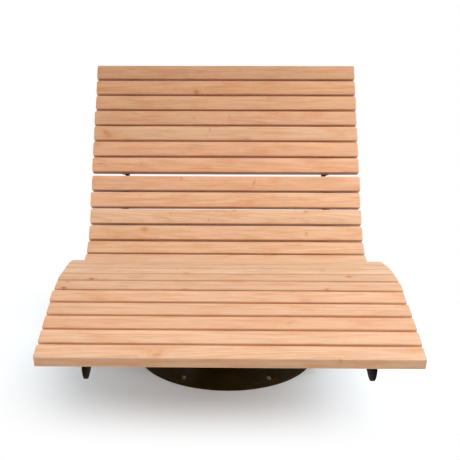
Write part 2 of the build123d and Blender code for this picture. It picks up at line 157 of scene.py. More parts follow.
class NodeKit:
    """A node tree, with short ways to add and join its nodes."""

    def __init__(self, tree: bpy.types.NodeTree) -> None:
        """Empties a tree, to build in it.

        Args:
            tree: The node tree.
        """
        self.tree = tree
        self.tree.nodes.clear()

    def feed(self, socket: Socket, value: Feed) -> None:
        """Joins a socket to another one, or sets its value.

        Args:
            socket: The input to fill.
            value: An output to join, or a plain value.
        """
        if isinstance(value, Socket):
            self.tree.links.new(value, socket)
        else:
            socket.default_value = value

    def add(self, kind: str, feeds: dict[int | str, Feed], outlet: int | str = 0,
            **settings: object) -> Socket:
        """Adds a node.

        Args:
            kind: The node's type.
            feeds: What each input gets, by name or number.
            outlet: Which output to return.
            settings: Properties of the node.

        Returns:
            The chosen output.
        """
        node = self.tree.nodes.new(kind)
        for key, value in settings.items():
            setattr(node, key, value)
        for key, value in feeds.items():
            self.feed(node.inputs[key], value)
        return node.outputs[outlet]

    def split(self, vector: Socket) -> tuple[Socket, ...]:
        """The three numbers of a vector."""
        first = self.add("ShaderNodeSeparateXYZ", {0: vector})
        return tuple(first.node.outputs)

    def join(self, x: Feed, y: Feed, z: Feed) -> Socket:
        """A vector from three numbers."""
        return self.add("ShaderNodeCombineXYZ", {0: x, 1: y, 2: z})

    def math(self, operation: str, *values: Feed) -> Socket:
        """The outcome of a Math node on one or two numbers."""
        return self.add("ShaderNodeMath", dict(enumerate(values)), operation=operation)

    def sum(self, first: Feed, second: Feed) -> Socket:
        """Two numbers added."""
        return self.math("ADD", first, second)

    def less(self, first: Feed, second: Feed) -> Socket:
        """One number less another."""
        return self.math("SUBTRACT", first, second)

    def times(self, first: Feed, second: Feed) -> Socket:
        """Two numbers multiplied."""
        return self.math("MULTIPLY", first, second)

    def over(self, first: Feed, second: Feed) -> Socket:
        """One number divided by another."""
        return self.math("DIVIDE", first, second)

    def length(self, first: Feed, second: Feed, third: Feed = 0.0) -> Socket:
        """The length of a vector of two or three numbers."""
        return self.add("ShaderNodeVectorMath", {0: self.join(first, second, third)}, "Value",
                        operation="LENGTH")

    def noise(self, place: Socket, noise: Noise) -> Socket:
        """Smooth noise from 0 to 1, read at a place."""
        return self.add("ShaderNodeTexNoise", {"Vector": place, "Scale": noise.scale,
                                               "Detail": noise.detail, "Roughness": noise.rough}, "Fac")

    def ramp(self, value: Socket, step: Step) -> Socket:
        """A smooth step of a number."""
        return self.add("ShaderNodeMapRange",
                        {0: value, 1: step.low, 2: step.high, 3: step.start, 4: step.end},
                        interpolation_type="SMOOTHSTEP")

    def curve(self, value: Socket, stops: Sequence[tuple[float, float]]) -> Socket:
        """A number that follows straight stretches between stops.

        Args:
            value: A number from 0 to 1.
            stops: Places from 0 to 1, each with its level.

        Returns:
            The level at the value.
        """
        outlet = self.add("ShaderNodeValToRGB", {0: value})
        elements = outlet.node.color_ramp.elements
        while len(elements) < len(stops):
            elements.new(1.0)
        for element, (place, level) in zip(elements, stops):
            element.position = place
            element.color = colour4((level, level, level))
        return outlet

    def blend(self, share: Feed, first: Colour | Socket, second: Colour | Socket,
              kind: str = "MIX") -> Socket:
        """Two colours mixed.

        Args:
            share: How much of the second.
            first: The colour at 0.
            second: The colour at 1.
            kind: The way of mixing.

        Returns:
            The mixed colour.
        """
        colours = [colour4(colour) if isinstance(colour, tuple) else colour for colour in (first, second)]
        feeds = {MIX_SHARE: share, MIX_FIRST: colours[0], MIX_SECOND: colours[1]}
        return self.add("ShaderNodeMix", feeds, MIX_OUTCOME, data_type="RGBA", blend_type=kind)

    def direct_view(self) -> Socket:
        """Tells what the camera sees, by itself, in a mirror or through glass.

        Returns:
            1 for such a ray of light, otherwise 0.
        """
        paths = self.add("ShaderNodeLightPath", {}).node.outputs
        bounced = self.math("MAXIMUM", paths["Is Glossy Ray"], paths["Is Transmission Ray"])
        return self.math("MAXIMUM", paths["Is Camera Ray"], bounced)


class Recipe(NodeKit):
    """A material's node tree, with its shader."""

    def __init__(self, name: str) -> None:
        """Starts a material.

        Args:
            name: The material's name.
        """
        self.material = bpy.data.materials.new(name)
        self.material.use_nodes = True
        super().__init__(self.material.node_tree)
        self.shader = self.tree.nodes.new("ShaderNodeBsdfPrincipled")
        self.output = self.tree.nodes.new("ShaderNodeOutputMaterial")
        self.tree.links.new(self.shader.outputs[0], self.output.inputs[0])

    def attribute(self, name: str, outlet: Outlet) -> Socket:
        """Reads a mesh attribute."""
        return self.add("ShaderNodeAttribute", {}, outlet.value, attribute_name=name)

    def bump(self, height: Socket, depth: float, strength: float) -> Socket:
        """A normal from a height, with its depth in metres."""
        return self.add("ShaderNodeBump", {"Height": height, "Distance": depth, "Strength": strength})

    def set(self, **feeds: Feed) -> bpy.types.Material:
        """Fills the shader's sockets.

        Args:
            feeds: What each socket gets, by its name with _ for a space.

        Returns:
            The material.
        """
        for key, value in feeds.items():
            value = colour4(value) if isinstance(value, tuple) and len(value) == 3 else value
            self.feed(self.shader.inputs[key.replace("_", " ").title().replace("Ior", "IOR")], value)
        return self.material


@dataclass(frozen=True)
class BoardMarks:
    """What the wood reads from a board's mesh.

    Along, across and up are the place in the board. The pith is the middle of the log's rings and
    leans along the board. The seed moves the noises, the fleck is how mottled the wood is, and the
    ring width is a share of the usual one. The tint is partly the board's own tone and partly painted
    shade. The side shading is painted shade or painted light on the board's sides.
    """

    along: Socket
    across: Socket
    up: Socket
    pith_across: Socket
    pith_up: Socket
    lean: Socket
    seed: Socket
    fleck: Socket
    ring_width: Socket
    tint: Socket
    side_shading: Socket
    edge: Socket

    @classmethod
    def read(cls, recipe: Recipe) -> BoardMarks:
        """Reads the marks.

        Args:
            recipe: The wood's node tree.

        Returns:
            The marks as sockets.
        """
        return cls(*recipe.split(recipe.attribute("board_place", Outlet.VECTOR)),
                   *recipe.split(recipe.attribute("board_pith", Outlet.VECTOR)),
                   *recipe.split(recipe.attribute("board_mood", Outlet.VECTOR)),
                   recipe.attribute("board_tint", Outlet.VECTOR),
                   recipe.attribute("board_side", Outlet.VECTOR),
                   recipe.attribute("board_edge", Outlet.FACTOR))


@dataclass(frozen=True)
class KnotMasks:
    """The knots' cores, the coloured wood round them, and how far they push the rings."""

    core: Socket
    halo: Socket
    bulge: Socket


@dataclass(frozen=True)
class SoftwoodFinish:
    """Planed and oiled larch, with growth rings, fibres, knots and worn edges, and painted shade and
    light from each board's tint and side colour.
    """

    early: Colour = (0.80, 0.475, 0.285)
    late: Colour = (0.58, 0.265, 0.115)
    heart: Colour = (0.68, 0.285, 0.10)
    knot: Colour = (0.52, 0.165, 0.045)
    knot_eye: Colour = (0.16, 0.05, 0.015)
    grime: Colour = (0.42, 0.27, 0.17)
    worn: Colour = (0.84, 0.56, 0.37)
    ring_step: float = 0.0036
    ring_wander: float = 0.008
    ring_strength: float = 0.44
    ring_profile: tuple[tuple[float, float], ...] = (
        (0.0, 0.30), (0.10, 0.0), (0.50, 0.12), (0.84, 0.85), (0.94, 1.0), (1.0, 0.30))
    year_scale: float = 120.0
    year_noise: Noise = Noise(detail=1.0)
    year_step: Step = Step(0.25, 0.75, 0.45, 1.0)
    wander_grain: Grain = Grain(1.3, 11.0, 17.0)
    fibre_grain: Grain = Grain(16.0, 850.0, 5.0, Noise(1.0, 3.0, 0.6))
    fibre_shade: float = 0.22
    least_shade: float = 0.89
    streak_grain: Grain = Grain(5.0, 70.0, 9.0, Noise(1.0, 4.0, 0.65))
    streak_step: Step = Step(0.38, 0.70, 0.0, 0.50)
    patch_grain: Grain = Grain(6.5, 24.0, 23.0, Noise(1.0, 4.0, 0.62))
    patch_step: Step = Step(0.48, 0.74, 0.0, 0.65)
    grime_grain: Grain = Grain(7.0, 12.0, 41.0, Noise(1.0, 5.0, 0.7))
    grime_step: Step = Step(0.55, 0.85)
    worn_share: float = 0.30
    side_step: Step = Step(0.0325, 0.0338)
    knot_level: float = 0.036
    knot_taper: float = 0.5
    knot_ripple: float = 0.9
    knot_bulge: float = 1.3
    least_knot: float = 0.00001
    ripple_noise: Noise = Noise(160.0)
    core_step: Step = Step(0.4, 1.1, 1.0, 0.0)
    halo_step: Step = Step(0.6, 2.6, 1.0, 0.0)
    bulge_step: Step = Step(0.0, 4.0, 1.0, 0.0)
    halo_share: float = 0.7
    eye_step: Step = Step(0.6, 1.1)
    rough: float = 0.44
    fibre_rough: float = 0.24
    ring_rough: float = -0.10
    edge_rough: float = 0.06
    fibre_height: float = 0.7
    ring_height: float = 0.8
    knot_height: float = -0.25
    bump_depth: float = 0.00022
    bump_strength: float = 0.8
    shine: float = 0.38

    def material(self) -> bpy.types.Material:
        """Builds the material.

        Returns:
            Wood that reads its place in the board, pith, mood, tint and knots from the mesh.
        """
        recipe = Recipe(Slot.WOOD.value)
        board = BoardMarks.read(recipe)
        knots = self.knots(recipe, board)
        ring = self.rings(recipe, board, knots)
        fibre = self.grain(recipe, board, self.fibre_grain)
        colour = self.figure(recipe, board, ring)
        colour = self.knotted(recipe, knots, colour)
        colour = self.used(recipe, board, fibre, colour)
        rough = recipe.sum(recipe.times(fibre, self.fibre_rough), recipe.times(ring, self.ring_rough))
        rough = recipe.sum(rough, recipe.sum(recipe.times(board.edge, self.edge_rough), self.rough))
        height = recipe.sum(recipe.times(fibre, self.fibre_height), recipe.times(ring, self.ring_height))
        height = recipe.sum(height, recipe.times(knots.core, self.knot_height))
        return recipe.set(base_color=colour, roughness=rough, specular_ior_level=self.shine,
                          normal=recipe.bump(height, self.bump_depth, self.bump_strength))

    def grain(self, recipe: Recipe, board: BoardMarks, grain: Grain) -> Socket:
        """Noise drawn out along the board and moved by the board's seed.

        Args:
            recipe: The node tree.
            board: The board's marks.
            grain: The noise.

        Returns:
            The noise, from 0 to 1.
        """
        moved = recipe.sum(recipe.times(board.along, grain.along), recipe.times(board.seed, grain.shift))
        place = recipe.join(moved, recipe.times(board.across, grain.across),
                            recipe.times(board.up, grain.across))
        return recipe.noise(place, grain.noise)

    def rings(self, recipe: Recipe, board: BoardMarks, knots: KnotMasks) -> Socket:
        """The growth rings round the pith, pushed aside by the knots.

        Args:
            recipe: The node tree.
            board: The board's marks.
            knots: The board's knots.

        Returns:
            0 in early wood, and up to 1 in late wood.
        """
        wander = self.grain(recipe, board, self.wander_grain)
        pith_up = recipe.times(board.lean, board.along)
        radius = recipe.length(recipe.less(board.across, board.pith_across),
                               recipe.less(recipe.less(board.up, board.pith_up), pith_up))
        radius = recipe.sum(radius, recipe.times(recipe.less(wander, NOISE_MIDDLE), self.ring_wander))
        radius = recipe.sum(radius, knots.bulge)
        count = recipe.over(radius, recipe.times(board.ring_width, self.ring_step))
        ring = recipe.curve(recipe.math("FRACT", count), self.ring_profile)
        place = recipe.join(recipe.times(radius, self.year_scale), board.seed, 0.0)
        year = recipe.noise(place, self.year_noise)
        return recipe.times(ring, recipe.ramp(year, self.year_step))

    def figure(self, recipe: Recipe, board: BoardMarks, ring: Socket) -> Socket:
        """The colour of clear wood.

        Args:
            recipe: The node tree.
            board: The board's marks.
            ring: The growth rings.

        Returns:
            The colour, with its rings, streaks and redder patches.
        """
        streak = self.grain(recipe, board, self.streak_grain)
        patch = self.grain(recipe, board, self.patch_grain)
        late = recipe.sum(recipe.times(ring, self.ring_strength), recipe.ramp(streak, self.streak_step))
        colour = recipe.blend(late, self.early, self.late)
        return recipe.blend(recipe.ramp(patch, self.patch_step), colour, self.heart)

    def knotted(self, recipe: Recipe, knots: KnotMasks, colour: Socket) -> Socket:
        """Adds the knots to the wood's colour.

        Args:
            recipe: The node tree.
            knots: The board's knots.
            colour: The colour of clear wood.

        Returns:
            The colour with each knot's halo, core and eye.
        """
        colour = recipe.blend(recipe.times(knots.halo, self.halo_share), colour, self.heart)
        colour = recipe.blend(knots.core, colour, self.knot)
        return recipe.blend(recipe.ramp(knots.core, self.eye_step), colour, self.knot_eye)

    def used(self, recipe: Recipe, board: BoardMarks, fibre: Socket, colour: Socket) -> Socket:
        """Adds the board's tint, partly its own tone and partly painted shade, and marks of use to the
        wood's colour.

        Args:
            recipe: The node tree.
            board: The board's marks.
            fibre: The fibres.
            colour: The colour of new wood.

        Returns:
            The colour with worn edges, grime, fibres, the board's tint and the painted shade or light on
            its sides.
        """
        colour = recipe.blend(recipe.times(board.edge, self.worn_share), colour, self.worn)
        grime = recipe.ramp(self.grain(recipe, board, self.grime_grain), self.grime_step)
        colour = recipe.blend(recipe.times(grime, board.fleck), colour, self.grime)
        shade = recipe.sum(recipe.times(fibre, self.fibre_shade), self.least_shade)
        colour = recipe.blend(1.0, colour, recipe.join(shade, shade, shade), "MULTIPLY")
        # The board's tint: partly its own tone, partly painted shade and painted light, darker towards the
        # top of the back.
        colour = recipe.blend(1.0, colour, board.tint, "MULTIPLY")
        # Painted shade or painted light on the board's sides and rounded long edges: the side colour
        # multiplies the wood there.
        side = recipe.ramp(recipe.math("ABSOLUTE", board.across), self.side_step)
        return recipe.blend(side, colour, recipe.blend(1.0, colour, board.side_shading, "MULTIPLY"))

    def knots(self, recipe: Recipe, board: BoardMarks) -> KnotMasks:
        """Masks of the board's knots, which fade with depth below its top face.

        Args:
            recipe: The node tree.
            board: The board's marks.

        Returns:
            The masks.
        """
        core: Feed = 0.0
        halo: Feed = 0.0
        bulge: Feed = 0.0
        ripple = recipe.noise(recipe.join(board.along, board.across, 0.0), self.ripple_noise)
        ripple = recipe.times(recipe.less(ripple, NOISE_MIDDLE), self.knot_ripple)
        below = recipe.times(recipe.less(self.knot_level, board.up), self.knot_taper)
        for number in range(1, KNOT_SLOTS + 1):
            along, across, size = recipe.split(recipe.attribute(f"board_knot_{number}", Outlet.VECTOR))
            shape = recipe.attribute(f"board_knot_shape_{number}", Outlet.VECTOR)
            stretch, depth, lean = recipe.split(shape)
            off_across = recipe.less(board.across, across)
            off_along = recipe.less(recipe.less(board.along, along), recipe.times(off_across, lean))
            reach = recipe.length(recipe.over(off_along, stretch), off_across, below)
            reach = recipe.over(reach, recipe.sum(size, self.least_knot))
            uneven = recipe.sum(reach, ripple)
            core = recipe.sum(core, recipe.times(recipe.ramp(uneven, self.core_step), depth))
            halo = recipe.sum(halo, recipe.times(recipe.ramp(uneven, self.halo_step), depth))
            push = recipe.times(size, self.knot_bulge)
            bulge = recipe.sum(bulge, recipe.times(recipe.ramp(reach, self.bulge_step), push))
        return KnotMasks(recipe.math("MINIMUM", core, 1.0), recipe.math("MINIMUM", halo, 1.0), bulge)


@dataclass(frozen=True)
class CoatingFinish:
    """Satin powder coating on steel, with a fine orange peel, dust and rubbed edges."""

    slot: Slot
    base: Colour
    sheen: float = 0.04
    sheen_tint: Colour = (1.0, 0.62, 0.28)
    lightening: float = 1.5
    rubbed: Colour = (0.050, 0.033, 0.016)
    rubbed_share: float = 0.5
    dust: Colour = (0.15, 0.105, 0.06)
    dust_share: float = 0.06
    speck_share: float = 0.03
    cloud_noise: Noise = Noise(7.0, 5.0, 0.65)
    cloud_step: Step = Step(0.3, 0.75)
    dust_step: Step = Step(0.35, 0.8)
    lying_step: Step = Step(0.35, 1.0)
    speck_noise: Noise = Noise(240.0, 3.0, 0.6)
    speck_step: Step = Step(0.62, 0.8)
    chip_noise: Noise = Noise(90.0, 4.0, 0.7)
    chip_step: Step = Step(0.5, 0.68)
    peel_noise: Noise = Noise(620.0)
    peel_depth: float = 0.00006
    peel_strength: float = 0.6
    rough: float = 0.40
    cloud_rough: float = 0.20
    dust_rough: float = 1.2

    def material(self) -> bpy.types.Material:
        """Builds the material.

        Returns:
            A coating that gathers dust on faces that lie, and is rubbed at eased edges.
        """
        recipe = Recipe(self.slot.value)
        place = recipe.add("ShaderNodeTexCoord", {}, "Object")
        facing = recipe.split(recipe.add("ShaderNodeNewGeometry", {}, "Normal"))[2]
        edge = recipe.attribute("steel_edge", Outlet.FACTOR)
        cloud, speck, chip, peel = (
            recipe.noise(place, noise)
            for noise in (self.cloud_noise, self.speck_noise, self.chip_noise, self.peel_noise))
        lighter = tuple(channel * self.lightening for channel in self.base)
        colour = recipe.blend(recipe.ramp(cloud, self.cloud_step), self.base, lighter)
        lying = recipe.ramp(facing, self.lying_step)
        dusty = recipe.times(recipe.times(recipe.ramp(cloud, self.dust_step), lying), self.dust_share)
        dusty = recipe.sum(dusty, recipe.times(recipe.ramp(speck, self.speck_step), self.speck_share))
        colour = recipe.blend(dusty, colour, self.dust)
        chipped = recipe.times(recipe.times(edge, recipe.ramp(chip, self.chip_step)), self.rubbed_share)
        colour = recipe.blend(chipped, colour, self.rubbed)
        rough = recipe.sum(recipe.times(cloud, self.cloud_rough),
                           recipe.sum(recipe.times(dusty, self.dust_rough), self.rough))
        return recipe.set(base_color=colour, roughness=rough, specular_ior_level=self.sheen,
                          specular_tint=self.sheen_tint,
                          normal=recipe.bump(peel, self.peel_depth, self.peel_strength))


@dataclass(frozen=True)
class MetalFinish:
    """Bare or plated steel, mottled, with fine marks."""

    slot: Slot
    base: Colour
    dull: Colour
    rough: float
    metallic: float = 0.9
    mottle_noise: Noise = Noise(60.0, 4.0, 0.6)
    mottle_step: Step = Step(0.35, 0.7)
    mottle_rough: float = 0.22
    mark_noise: Noise = Noise(300.0, 3.0, 0.6)
    mark_rough: float = 0.12
    mark_depth: float = 0.00003
    mark_strength: float = 0.5

    def material(self) -> bpy.types.Material:
        """Builds the material.

        Returns:
            Metal that is duller and rougher in patches.
        """
        recipe = Recipe(self.slot.value)
        place = recipe.add("ShaderNodeTexCoord", {}, "Object")
        mottle = recipe.noise(place, self.mottle_noise)
        marks = recipe.noise(place, self.mark_noise)
        colour = recipe.blend(recipe.ramp(mottle, self.mottle_step), self.base, self.dull)
        rough = recipe.sum(recipe.times(mottle, self.mottle_rough), self.rough)
        rough = recipe.sum(rough, recipe.times(marks, self.mark_rough))
        return recipe.set(base_color=colour, metallic=self.metallic, roughness=rough,
                          normal=recipe.bump(marks, self.mark_depth, self.mark_strength))


@dataclass(frozen=True)
class FloorFinish:
    """White paper that shows the lounger's shadow and fades to plain white round it.

    Seen is the paper's colour to the camera, and lets the shadow start from white. The middle and
    the reach give the patch round the lounger where the shadow shows, with rounded corners.
    """

    paper: Colour = (0.80, 0.87, 0.94)
    seen: Colour = (1.03, 1.11, 1.17)
    cloud_noise: Noise = Noise(0.8, 3.0)
    cloud_darkening: float = 0.985
    middle: tuple[float, float] = (0.0, 0.15)
    reach: tuple[float, float] = (1.18, 0.93)
    corner: float = 3.0
    fade: Step = Step(0.55, 1.0, 0.15, 1.0)
    rough: float = 0.9
    shine: float = 0.1

    def share_out(self, recipe: Recipe, value: Socket, axis: int) -> Socket:
        """How far out a place lies along one axis, raised to the corner's power."""
        away = recipe.over(recipe.less(value, self.middle[axis]), self.reach[axis])
        return recipe.math("POWER", recipe.math("ABSOLUTE", away), self.corner)

    def material(self) -> bpy.types.Material:
        """Builds the material.

        Returns:
            Paper that glows plain white to the camera away from the lounger.
        """
        recipe = Recipe("studio_paper")
        place = recipe.add("ShaderNodeTexCoord", {}, "Object")
        x, y, _ = recipe.split(place)
        direct = recipe.direct_view()
        cloud = recipe.noise(place, self.cloud_noise)
        darker = tuple(channel * self.cloud_darkening for channel in self.paper)
        colour = recipe.blend(direct, recipe.blend(cloud, self.paper, darker), self.seen)
        shares = recipe.sum(self.share_out(recipe, x, 0), self.share_out(recipe, y, 1))
        away = recipe.math("POWER", shares, 1 / self.corner)
        white = recipe.times(recipe.ramp(away, self.fade), direct)
        recipe.set(base_color=colour, roughness=self.rough, specular_ior_level=self.shine)
        glow = recipe.add("ShaderNodeEmission", {"Color": colour4(WHITE), "Strength": 1.0})
        mixed = recipe.add("ShaderNodeMixShader", {0: white, 1: recipe.shader.outputs[0], 2: glow})
        recipe.feed(recipe.output.inputs[0], mixed)
        return recipe.material


def steel_materials() -> dict[Slot, bpy.types.Material]:
    """Builds the finish of each steel slot.

    Returns:
        The materials by slot.
    """
    finishes = (
        CoatingFinish(Slot.RIB, (0.012, 0.0072, 0.0026), sheen=0.015),
        CoatingFinish(Slot.BASE, (0.034, 0.0225, 0.0062)),
        MetalFinish(Slot.ZINC, (0.31, 0.25, 0.18), (0.20, 0.15, 0.10), 0.46),
        MetalFinish(Slot.BEARING, (0.50, 0.50, 0.51), (0.40, 0.40, 0.41), 0.22),
        MetalFinish(Slot.BALL, (0.78, 0.78, 0.79), (0.70, 0.70, 0.71), 0.04),
    )
    return {finish.slot: finish.material() for finish in finishes}


def new_object(name: str, mesh: bpy.types.Mesh, material: bpy.types.Material) -> bpy.types.Object:
    """Puts a mesh in the scene.

    Args:
        name: The piece's name.
        mesh: Its mesh, already in place.
        material: Its only material.

    Returns:
        The new object.
    """
    piece = bpy.data.objects.new(name, mesh)
    mesh.materials.clear()
    mesh.materials.append(material)
    bpy.context.scene.collection.objects.link(piece)
    return piece


def seat_piece(piece: bpy.types.Object, body: Body, slot: Slot, *nodes: str) -> None:
    """Hangs a piece on its body, and lets it stand for its nodes.

    Args:
        piece: The piece.
        body: What it moves with.
        slot: Not used.
        nodes: The nodes that it stands for.
    """
    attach(piece, body.value)
    if nodes:
        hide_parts(*nodes)
    log.info("piece %s on %s, %d faces", piece.name, body.value, len(piece.data.polygons))


@dataclass(frozen=True)
class Knot:
    """A knot: its place as shares of the board's half length and half width, its size and shape.

    The radius is across the board. The stretch is its length along the board over its width, the
    depth how dark it is, and the lean how far it slants.
    """

    along_share: float
    across_share: float
    radius: float
    stretch: float = 1.0
    depth: float = 0.5
    lean: float = 0.0


@dataclass(frozen=True)
class Board:
    """What sets one slat apart: its tint, partly its own tone and partly painted shade, its knots, how
    mottled it is, and the painted shade or light on its sides.
    """

    tint: Colour
    knots: tuple[Knot, ...] = ()
    fleck: float = 0.3
    # Painted shade on the sides and rounded long edges, browner than the top face.
    side: Colour = (0.97, 0.90, 0.80)


def slat_boards() -> tuple[Board, ...]:
    """Lists the slats as the photograph shows them, knots and all. Each tint is partly the board's
    own tone and partly painted shade and painted light, darkest at the top of the back.

    Returns:
        A board for each slat, from the top of the back to the foot.
    """
    return (
        Board((0.76, 0.68, 0.62), (
            Knot(-0.72, 0.35, 0.003, 6.0, 0.3), Knot(-0.2, 0.0, 0.008, 2.4, 0.16),
            Knot(0.1, 0.35, 0.004, 5.0, 0.25), Knot(0.62, 0.1, 0.004, 5.0, 0.25)), 0.4),
        Board((0.84, 0.74, 0.66), (
            Knot(-0.226, -0.72, 0.014, 1.0, 0.72), Knot(-0.39, -0.35, 0.004, 1.2, 0.3))),
        Board((0.85, 0.78, 0.71), (Knot(0.33, 0.8, 0.005, 2.6, 0.3),)),
        Board((0.87, 0.80, 0.76), (
            Knot(-0.238, 0.03, 0.005, 0.8, 0.6), Knot(0.033, 0.03, 0.007, 0.5, 0.5),
            Knot(-0.55, 0.2, 0.009, 7.0, 0.35), Knot(0.4, 0.8, 0.005, 0.6, 0.45)), 0.4),
        Board((0.91, 0.91, 0.89), (
            Knot(-0.9, -0.1, 0.026, 0.75, 0.5, -0.6), Knot(-0.12, 0.46, 0.009, 0.35, 0.55),
            Knot(0.16, -0.85, 0.006, 3.0, 0.45)), 0.35),
        Board((0.98, 0.90, 0.85)),
        Board((1.02, 0.94, 0.89), (
            Knot(-0.94, 0.05, 0.004, 4.0, 0.35), Knot(-0.63, 0.1, 0.011, 0.35, 0.4)), side=DEEP_PAINTED_SIDE_SHADE),
        Board((1.03, 0.98, 0.95), (
            Knot(-0.333, 0.62, 0.01, 0.35, 0.5), Knot(0.21, 0.1, 0.012, 0.4, 0.5, 0.3)), side=DARK_PAINTED_SIDE_SHADE),
        Board((1.08, 1.06, 1.04), side=DARK_PAINTED_SIDE_SHADE),
        Board((1.05, 1.12, 1.18), (
            Knot(0.59, 0.72, 0.006, 1.2, 0.6), Knot(-0.41, 0.42, 0.005, 0.8, 0.5),
            Knot(-0.125, -0.48, 0.007, 0.6, 0.5), Knot(0.065, 0.87, 0.006, 1.2, 0.55)), side=DARK_PAINTED_SIDE_SHADE),
        Board((0.98, 0.99, 0.97), (
            Knot(-0.595, 0.4, 0.012, 1.6, 0.6), Knot(0.59, -0.14, 0.007, 1.0, 0.5)), side=DARK_PAINTED_SIDE_SHADE),
        Board((0.87, 0.86, 0.83), side=PAINTED_SIDE_LIGHT),
        Board((0.83, 0.87, 0.91)),
        Board((0.93, 0.91, 0.90)),
        Board((0.96, 0.95, 0.94)),
        Board((0.97, 0.96, 0.95)),
        Board((0.94, 0.93, 0.92)),
        Board((0.79, 0.84, 0.87)),
        Board((0.82, 0.88, 0.93), (Knot(0.1, 0.4, 0.004, 2.0, 0.3),), 0.4, side=PAINTED_SIDE_LIGHT),
        Board((0.87, 0.95, 1.04), (
            Knot(-0.657, -0.4, 0.006, 1.1, 0.6), Knot(-0.307, 0.63, 0.008, 0.6, 0.5),
            Knot(-0.25, -0.86, 0.008, 2.4, 0.5), Knot(0.579, 0.31, 0.007, 1.6, 0.6)), 0.4, side=PAINTED_SIDE_LIGHT),
        Board((0.84, 0.85, 0.86), (
            Knot(0.72, 0.3, 0.01, 1.2, 0.8), Knot(-0.8, -0.8, 0.007, 1.8, 1.0),
            Knot(-0.55, 0.2, 0.01, 4.0, 0.2)), 0.4, side=PAINTED_SIDE_LIGHT),
        Board((0.86, 0.87, 0.89), (
            Knot(-0.934, 0.55, 0.006, 1.6, 0.6), Knot(-0.945, -0.85, 0.007, 1.6, 1.0),
            Knot(0.563, -0.85, 0.006, 1.6, 0.8), Knot(-0.25, -0.95, 0.004, 4.0, 0.5)), side=PAINTED_SIDE_LIGHT),
        Board((0.94, 0.93, 0.94), (
            Knot(0.434, -0.73, 0.016, 1.6, 0.3), Knot(-0.72, -0.75, 0.012, 3.0, 0.25)), side=PAINTED_SIDE_LIGHT),
        Board((0.93, 0.93, 0.95), side=PAINTED_SIDE_LIGHT),
        Board((0.96, 0.92, 0.92), (Knot(0.325, -0.05, 0.011, 0.9, 0.25, 0.8),), side=PAINTED_SIDE_LIGHT),
        Board((1.00, 1.02, 1.06), (Knot(0.44, -0.95, 0.004, 9.0, 0.5),), side=PAINTED_SIDE_LIGHT),
        Board((1.00, 1.02, 1.06), (
            Knot(-0.37, -0.5, 0.011, 1.5, 0.45, 0.6), Knot(0.56, -1.0, 0.006, 1.0, 0.45))),
    )


